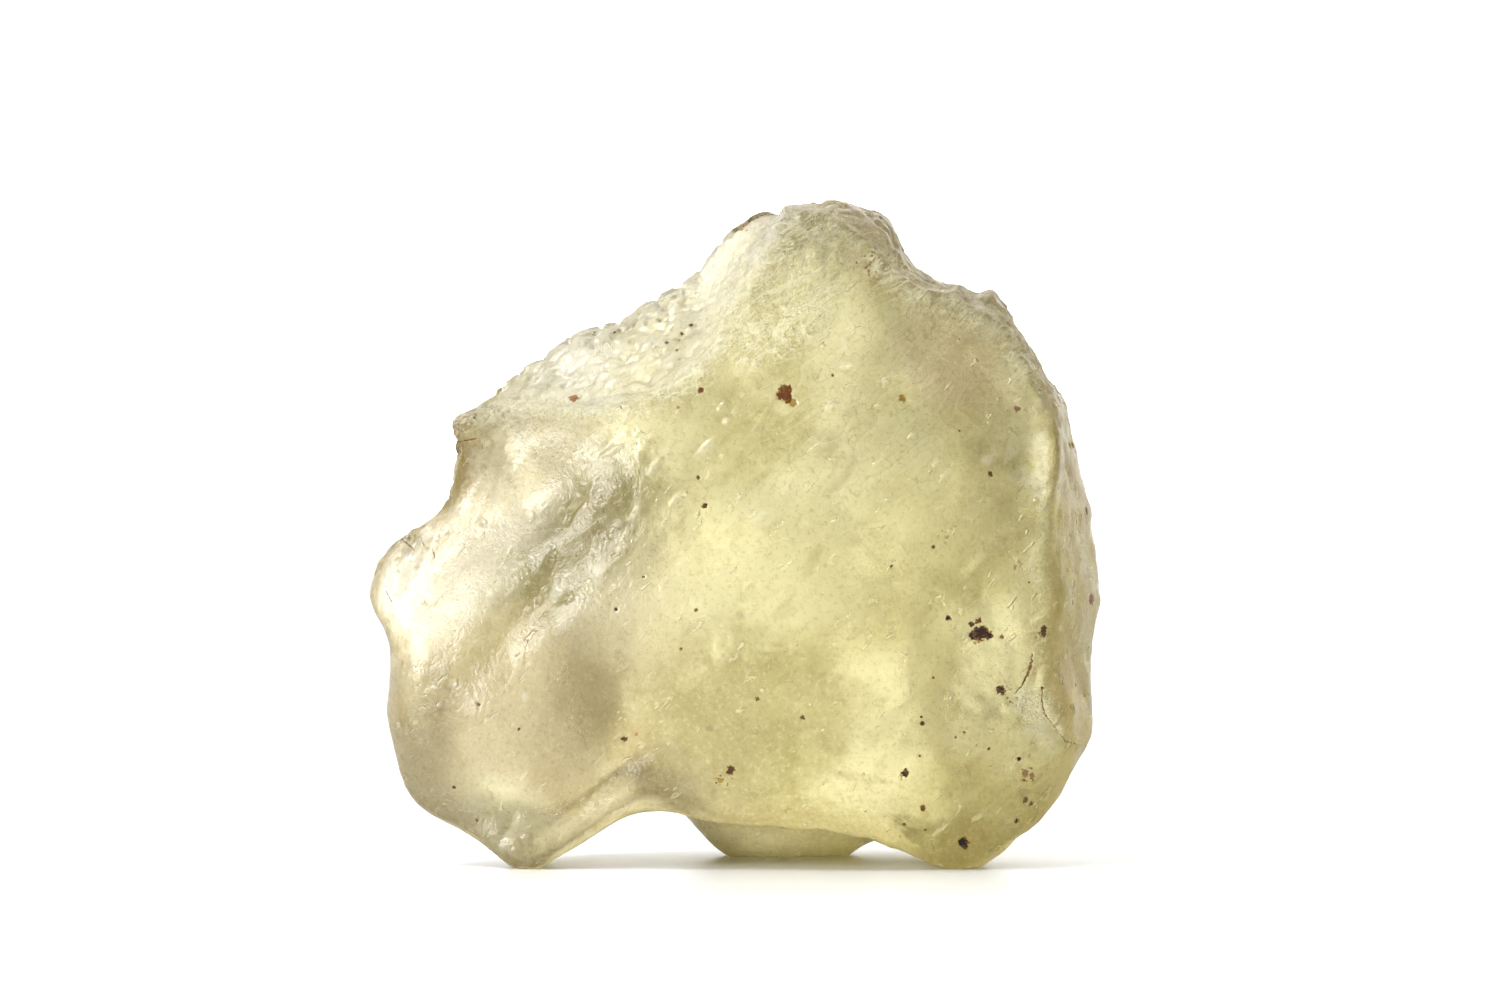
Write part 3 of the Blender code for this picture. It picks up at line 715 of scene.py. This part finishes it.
def paint_patterns(bm):
    """The broad patterns in the glass: clouds, mottling, slanted streaks and ledges."""
    patterns = bm.verts.layers.float_color.new("patterns")
    for vertex in bm.verts:
        place = vertex.co
        calm = 1.0 - 0.7 * calm_share(place, vertex.normal)
        slant = Vector((0.3 * (place.x + place.z), 0.5 * place.y, 0.7 * (place.z - place.x)))
        vertex[patterns] = (
            clouded(place, 8.0), clouded(place, 2.0),
            0.5 + calm * (clouded(slant, 1.4) - 0.5), clouded(slant, 2.6, 0.3),
        )


def outline_tree(bm):
    """The outline that the reading view shows, as a look-up of its points."""
    points = []
    for edge in bm.edges:
        sides = [face.normal.dot(face.calc_center_median() - EYE) > 0 for face in edge.link_faces]
        if len(sides) == 2 and sides[0] != sides[1]:
            points.append(seen(edge.verts[0].co))
    tree = KDTree(len(points))
    for index, (across, up) in enumerate(points):
        tree.insert((across, up, 0.0), index)
    tree.balance()
    return tree


def pale_share(across, up, front):
    """How pale the glass is: on the left but in its trough, behind the upper edges and on the horn. On
    the left it is partly thin glass and partly the painted sheen of the left softboxes, and the trough
    is kept less pale as painted shade.
    """
    trough = math.exp(-((off_line(across, up, TROUGH) / 2.6) ** 2))
    left = left_share(across, up) * (1.0 - 0.6 * trough)
    behind = max(beside_line(across, up, PEAK_EDGE), beside_line(across, up, RIGHT_RIDGE))
    behind = smooth_share(behind, 0.0, 0.5) * smooth_share(up, 29.0, 36.0)
    horn = smooth_share(beside_line(across, up, DISH_RIDGE), 0.2, 1.2)
    horn *= smooth_share(up, 38.0, 42.0)
    return max(left, 0.9 * behind * front, 0.9 * horn * front)


def edge_share(place, normal, front, rim):
    """How olive the glass is: at steep places, at the left edge and along the whole outline."""
    across, up = seen(place)
    top = smooth_share(up, 33.0, 38.0)
    steep = smooth_share(0.62 - abs(normal.y), 0.0, 0.45) * (0.45 - 0.30 * top)
    ragged = 1.0 + 0.8 * noise.noise(place / 0.8) + 1.2 * noise.noise(place / 0.35)
    band = off_line(across, up, LEFT_OUTLINE) * max(0.2, ragged)
    left_edge = 0.75 * math.exp(-((band / 0.65) ** 2)) * front
    edge = rim.find((across, up, 0.0))[2] * max(0.3, ragged)
    soft = (0.52 - 0.3 * left_share(across, up)) * math.exp(-((edge / 1.6) ** 2))
    soft *= 1.0 - 0.6 * smooth_share(up, 28.0, 34.0)
    thin = 0.6 * math.exp(-((edge / 0.3) ** 2)) * (1.0 - 0.7 * top)
    return max(steep, left_edge, soft, thin)


def paint_zones(bm, rim):
    """Where the glass is pale, partly as a painted sheen, creamy, flaked or at the outline, and its
    soft tints, among them painted highlights and shade.
    """
    zones = bm.verts.layers.float_color.new("zones")
    tints = bm.verts.layers.float_color.new("tints")
    for vertex in bm.verts:
        place, normal = vertex.co, vertex.normal
        across, up = seen(place)
        front = smooth_share(-normal.y, -0.35, 0.05)
        pale = pale_share(across, up, front) * (0.4 + 0.6 * front)
        creamy = smooth_share(inside_dish(across, up), -0.5, 0.7) * front
        rough = flakiness(across, up) * front + 0.12 * (1.0 - front)
        vertex[zones] = (pale, creamy, rough, edge_share(place, normal, front, rim))
        vertex[tints] = soft_tint(across, up, place, front)


def stone():
    """The glass: the solid's own form, with its worn, pitted and flecked surface."""
    chance = random.Random(SEED)
    bm = copy_of_frame_mesh(NODE)
    refine(bm)
    rim = outline_tree(bm)
    raise_relief(bm)
    sink_scattered_pits(bm, chance)
    shape_marks(bm)
    specks = all_specks(bm, chance) + list(crack_specks(bm))
    paint_specks(bm, specks)
    paint_zones(bm, rim)
    paint_patterns(bm)
    for vertex in bm.verts:
        vertex.co.z = max(vertex.co.z, 0.0)
    bmesh.ops.scale(bm, vec=(MM, MM, MM), verts=bm.verts)
    mesh = bpy.data.meshes.new("glass_specimen")
    bm.to_mesh(mesh)
    bm.free()
    mesh.shade_smooth()
    piece = bpy.data.objects.new("glass_specimen", mesh)
    bpy.context.scene.collection.objects.link(piece)
    print("glass triangles", len(mesh.polygons))
    return piece


class Value:
    """A number that varies over a surface. Sums and products of such numbers add Math nodes."""

    def __init__(self, finish, socket):
        self.finish, self.socket = finish, socket

    def math(self, operation, first, second=None):
        values = {0: first} if second is None else {0: first, 1: second}
        return self.finish.node("Math", {"operation": operation}, values)

    def __add__(self, other):
        return self.math("ADD", self, other)

    def __sub__(self, other):
        return self.math("SUBTRACT", self, other)

    def __rsub__(self, other):
        return self.math("SUBTRACT", other, self)

    def __mul__(self, other):
        return self.math("MULTIPLY", self, other)

    __radd__ = __add__
    __rmul__ = __mul__


class Finish:
    """A material and the few ways in which its nodes are made."""

    def __init__(self, name):
        self.material = bpy.data.materials.new(name)
        self.material.use_nodes = True
        self.tree = self.material.node_tree
        self.tree.nodes.clear()

    def node(self, kind, settings=None, values=None, output=0):
        """Adds a node, with its settings first, and returns the output asked for."""
        made = self.tree.nodes.new("ShaderNode" + kind)
        for name, setting in (settings or {}).items():
            setattr(made, name, setting)
        for name, value in (values or {}).items():
            if isinstance(value, Value):
                self.tree.links.new(value.socket, made.inputs[name])
            else:
                made.inputs[name].default_value = value
        return Value(self, made.outputs[output])

    def mix(self, share, first, second):
        """A colour between two others. Sockets 6 and 7, and output 2, are the node's colours."""
        settings = {"data_type": "RGBA", "clamp_factor": True}
        return self.node("Mix", settings, {0: share, 6: first, 7: second}, output=2)

    def ease(self, value, low, high):
        """0 at low, 1 at high, eased between them."""
        values = {"Value": value, "From Min": low, "From Max": high}
        return self.node("MapRange", {"interpolation_type": "SMOOTHSTEP"}, values)

    def noise(self, place, size, detail=2.0, roughness=0.5):
        """Clouds of about this size in millimetres, from 0 to 1."""
        values = {"Vector": place, "Scale": 1.0 / size, "Detail": detail, "Roughness": roughness}
        return self.node("TexNoise", None, values)

    def along(self, place, direction):
        """How far a place lies along a direction."""
        values = {0: place, 1: direction}
        return self.node("VectorMath", {"operation": "DOT_PRODUCT"}, values, output="Value")

    def away(self, place, middle):
        """How far a place lies from another."""
        values = {0: place, 1: middle}
        return self.node("VectorMath", {"operation": "DISTANCE"}, values, output="Value")

    def attribute(self, name, output):
        """A colour painted on the mesh, or its alpha."""
        return self.node("Attribute", {"attribute_name": name}, None, output)

    def channel(self, painted, name):
        """The red, green or blue of a colour."""
        return self.node("SeparateColor", None, {"Color": painted}, output=name)

    def finish(self, surface, volume=None):
        """Leads the surface, and what fills it, out of the material."""
        out = self.tree.nodes.new("ShaderNodeOutputMaterial")
        self.tree.links.new(surface.socket, out.inputs["Surface"])
        if volume:
            self.tree.links.new(volume.socket, out.inputs["Volume"])


def colour(red, green, blue):
    return (red, green, blue, 1.0)


def glass_colour(name):
    return colour(*GLASS_COLOURS[name])


def glass_finish():
    """Frosted, see-through yellow glass with pale edges, flecks, scale-like arcs and stains, and
    painted glints, highlights and shade.
    """
    made = Finish("frosted_desert_glass")
    object_place = made.node("TexCoord", None, None, output="Object")
    place = made.node("VectorMath", {"operation": "SCALE"}, {0: object_place, "Scale": 1 / MM})
    zones = made.attribute("zones", "Color")
    pale = made.channel(zones, "Red")
    creamy = made.channel(zones, "Green")
    flaked = made.channel(zones, "Blue")
    outline = made.attribute("zones", "Alpha")

    patterns = made.attribute("patterns", "Color")
    clouds = made.channel(patterns, "Red")
    mottle = made.channel(patterns, "Green")
    streaks = made.channel(patterns, "Blue")
    ledges = made.node("Math", {"operation": "FRACT"}, {0: made.attribute("patterns", "Alpha") * 9.0})
    grain = made.noise(place, 0.3, 2.0, 0.75)

    # Ticks drawn out along one slant: bumps of small slanted pits, coloured bright as a painted
    # highlight
    rising = made.along(place, (0.7, 0.0, 0.7))
    aside = made.along(place, (-0.7, 0.0, 0.7))
    depth = made.node("SeparateXYZ", None, {0: place}, output="Y")
    slant = made.node("CombineXYZ", None, {"X": rising * 0.42, "Y": depth * 0.5, "Z": aside})
    ticks = made.ease(made.noise(slant, 0.62, 2.0, 0.6), 0.645, 0.72)

    # Thin curved lines like the edges of scales, on part of the front and of the back
    wander = made.noise(place, 1.3, 1.0, 0.6)
    line = made.node("Math", {"operation": "ABSOLUTE"}, {0: wander - 0.5})
    far = [made.away(place, middle) for middle in SCALY_PLACES]
    scaly = made.node("Math", {"operation": "MINIMUM"}, {0: far[0], 1: far[1]})
    scaly = 1.0 - made.ease(scaly, 6.5, 12.0) * 0.9
    scales = (1.0 - made.ease(line, 0.004, 0.016)) * made.ease(mottle, 0.40, 0.56) * scaly

    # Short fibres of the flaked glass, with gaps between them: their bright flecks and dark gaps are
    # partly the frosted flakes' own tone and partly painted light and shade of their facets
    run = made.along(place, (0.91, 0.0, 0.42))
    rise = made.along(place, (-0.42, 0.0, 0.91))
    fibres = made.node("CombineXYZ", None, {"X": run * 0.3, "Y": depth * 0.5, "Z": rise})
    fibres = made.noise(fibres, 0.36, 3.0, 0.75)
    flecks = made.ease(fibres, 0.50, 0.57) * flaked
    gaps = made.ease(fibres, 0.46, 0.38) * flaked
    # Painted glints: white sparkles, mostly on the flaked glass.
    glints = made.ease(grain, 0.57, 0.66) * (flaked * 0.9 + 0.04)

    # Layers of colour, as (share, colour), the lowest first
    body = made.mix(
        made.ease(clouds, 0.35, 0.65), glass_colour("deep_yellow"), glass_colour("light_yellow")
    )
    below_edges = [
        # Partly thin glass, partly the painted sheen of the left softboxes.
        (pale * 0.85, "pale_left_and_sheen"),
        (creamy * 0.85, "creamy_dish"),
        (made.ease(streaks, 0.5, 0.8) * (0.42 - pale * 0.22), "light_streak"),
        (made.ease(streaks, 0.45, 0.2) * (0.35 - pale * 0.2), "dark_grain"),
    ]
    for share, name in below_edges:
        body = made.mix(share, body, glass_colour(name))
    body = made.mix(made.attribute("tints", "Alpha"), body, made.attribute("tints", "Color"))
    above_tints = [
        (outline, "olive_edge"),
        # Partly painted shade and highlight: dark and light sides of small steps in the flaked and
        # scaly glass.
        (made.ease(ledges, 0.2, 0.0) * (flaked * 0.25 + scaly * 0.14), "dark_ledge"),
        (made.ease(ledges, 0.6, 1.0) * (flaked * 0.8 + scaly * 0.25), "light_grain"),
        (gaps * 0.25, "fibre_gap"),
        (flecks * 0.9, "fleck"),
        (glints, "glint"),
        (ticks * (0.6 - pale * 0.2), "tick"),
        (scales * 0.35, "scale_line"),
        (made.ease(grain, 0.5, 0.25) * 0.35, "dark_grain"),
        (made.ease(grain, 0.52, 0.75) * 0.25, "light_grain"),
    ]
    for share, name in above_tints:
        body = made.mix(share, body, glass_colour(name))

    # Stains, rusty and broken at their edges
    stain = made.attribute("stain", "Alpha")
    broken = grain - 0.5
    full = made.ease(stain + broken * 1.6, 0.5, 1.0)
    stained = made.mix(full, glass_colour("rusty_stain"), made.attribute("stain", "Color"))
    body = made.mix(made.ease(stain + broken * 0.9, 0.25, 0.75), body, stained)

    height = grain * (0.25 + flaked * 0.6) + ticks * (0.8 - pale * 0.5) + flecks * 0.4
    bump = {"Height": height, "Distance": BUMP_HEIGHT * MM, "Strength": 1.0}
    values = {
        "Base Color": body, "Roughness": 0.22 + mottle * 0.15 + flaked * 0.08,
        "Normal": made.node("Bump", None, bump), "IOR": BENDING, "Transmission Weight": SEE_THROUGH,
    }
    surface = made.node("BsdfPrincipled", None, values)
    inside = {"Color": glass_colour("inside"), "Density": GLASS_DENSITY}
    made.finish(surface, made.node("VolumeAbsorption", None, inside))
    return made.material


def table_finish():
    """A plain pale table with a faint haze."""
    made = Finish("pale_table")
    place = made.node("TexCoord", None, None, output="Object")
    haze = made.noise(place, 0.08, 3.0)
    shade = made.mix(haze * 0.3, colour(0.66, 0.66, 0.66), colour(0.62, 0.62, 0.63))
    values = {"Base Color": shade, "Roughness": 0.32 + haze * 0.06, "IOR": 1.45}
    made.finish(made.node("BsdfPrincipled", None, values))
    return made.material


def backdrop_finish():
    """A lit white backdrop."""
    made = Finish("white_backdrop")
    values = {"Color": colour(1.0, 1.0, 1.0), "Strength": BACKDROP_STRENGTH}
    made.finish(made.node("Emission", None, values))
    return made.material


def plane(name, width, depth, turn, place, material):
    """A flat sheet of the studio, which isn't part of the object."""
    bm = bmesh.new()
    bmesh.ops.create_grid(bm, x_segments=1, y_segments=1, size=0.5)
    bmesh.ops.scale(bm, vec=(width, depth, 1.0), verts=bm.verts)
    mesh = bpy.data.meshes.new(name)
    bm.to_mesh(mesh)
    bm.free()
    sheet = bpy.data.objects.new(name, mesh)
    sheet.rotation_euler = turn
    sheet.location = place
    mesh.materials.append(material)
    bpy.context.scene.collection.objects.link(sheet)


def softbox(name, place, size, power):
    """A square softbox that faces the middle of the studio."""
    data = bpy.data.lights.new(name, "AREA")
    data.shape = "SQUARE"
    data.size = size
    data.energy = power
    lamp = bpy.data.objects.new(name, data)
    lamp.location = place
    aim = Vector(STUDIO_MIDDLE) - Vector(place)
    lamp.rotation_euler = aim.to_track_quat("-Z", "Y").to_euler()
    bpy.context.scene.collection.objects.link(lamp)


def studio():
    """The table, the lit backdrop, the softboxes and the soft light of the room."""
    plane("table", 6.0, 6.0, (0, 0, 0), (0, 1.5, 0), table_finish())
    plane("backdrop", 6.0, 3.0, (math.pi / 2, 0, 0), (0, 2.2, 1.4), backdrop_finish())
    for name, place, size, power in SOFTBOXES:
        softbox(name, place, size, power)
    overhead = bpy.data.lights.new("overhead_light", "SUN")
    overhead.energy = OVERHEAD_POWER
    overhead.angle = math.radians(OVERHEAD_ANGLE)
    lamp = bpy.data.objects.new("overhead_light", overhead)
    lamp.rotation_euler = (*(math.radians(turn) for turn in OVERHEAD_TILT), 0.0)
    bpy.context.scene.collection.objects.link(lamp)
    world = bpy.data.worlds.new("soft_room")
    world.use_nodes = True
    background = world.node_tree.nodes["Background"]
    background.inputs["Color"].default_value = colour(0.97, 0.98, 1.0)
    background.inputs["Strength"].default_value = ROOM_STRENGTH
    bpy.context.scene.world = world
    settings = bpy.context.scene.view_settings
    settings.view_transform = "Standard"
    settings.gamma = PICTURE_GAMMA


def camera():
    """The camera, level, where the marks were read from."""
    data = bpy.data.cameras.new("camera")
    data.lens = LENS
    data.sensor_width = SENSOR
    data.clip_start = 0.01
    view = bpy.data.objects.new("camera", data)
    view.location = EYE * MM
    view.rotation_euler = (math.pi / 2, 0.0, 0.0)
    bpy.context.scene.collection.objects.link(view)
    bpy.context.scene.camera = view


camera()
studio()
specimen = stone()
specimen.data.materials.append(glass_finish())
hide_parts(NODE)
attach(specimen, "root")
